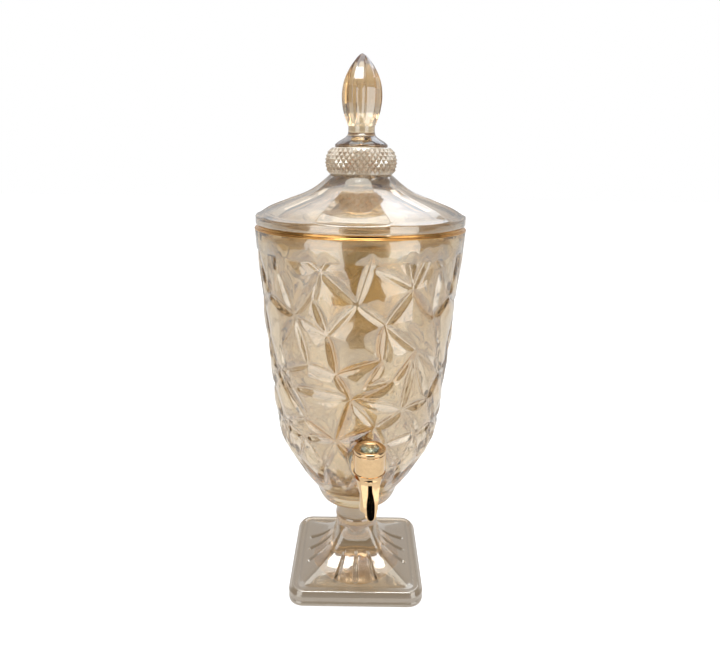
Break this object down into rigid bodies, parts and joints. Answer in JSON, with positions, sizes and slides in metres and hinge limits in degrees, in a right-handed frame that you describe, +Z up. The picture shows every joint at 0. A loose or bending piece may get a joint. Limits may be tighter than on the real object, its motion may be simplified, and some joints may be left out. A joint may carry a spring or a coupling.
{
  "type": "beverage dispenser",
  "caption": "Footed cut-glass drinks dispenser: a tapering urn on a square foot, a tent-shaped lift-off lid with a bud finial, and a lever tap with a sprung valve.",
  "frame": {"origin": "centre of the foot's underside, on the surface the dispenser stands on", "axes": "+Z up along the bowl's axis; the tap faces -Y, turned 5.5 degrees towards +X"},
  "size_m": [0.1884, 0.2136, 0.5],
  "materials": {
    "lustre_glass": "pressed glass with a champagne lustre",
    "clear_adhesive": "clear",
    "gold_plate": "polished gold plate",
    "silicone": "matt",
    "steel": "turned stainless steel",
    "black_rubber": "satin",
    "crystal": "cut and polished"
  },
  "bodies": {
    "urn": {"bowl": "lustre_glass", "foot": "lustre_glass", "stem_bond": "clear_adhesive", "tap_body": "gold_plate", "outer_gasket": "silicone", "inner_gasket": "silicone", "inner_washer": "steel", "shank_nut": "gold_plate", "bonnet": "steel", "stem_seal": "black_rubber"},
    "lid": {"lid_dome": "lustre_glass", "lid_collar": "lustre_glass", "finial": "lustre_glass"},
    "lever": {"lever": "gold_plate", "pivot_pin": "steel", "crystal_bezel": "gold_plate", "crystal": "crystal"},
    "plunger": {"valve_stem": "steel", "valve_plug": "silicone", "lift_pin": "steel", "return_spring": "steel"}
  },
  "joints": [
    {"name": "lid_lift", "type": "slide", "parent": "urn", "child": "lid", "axis": [0, 0, 1], "range_m": [0, 0.12]},
    {"name": "lever_pull", "type": "hinge", "parent": "urn", "child": "lever", "pos_m": [0.00915, -0.09506, 0.179], "axis": [-0.9954, -0.0958, 0], "range_deg": [0, 24], "stiffness_Nm_per_rad": 0.12, "springref_deg": -20.05},
    {"name": "valve_lift", "type": "slide", "parent": "urn", "child": "plunger", "axis": [0, 0, 1], "range_m": [0, 0.0042], "deforming": ["return_spring"]}
  ],
  "couplings": [
    {"joint": "valve_lift", "follows": "lever_pull", "m_per_rad": 0.0095}
  ]
}
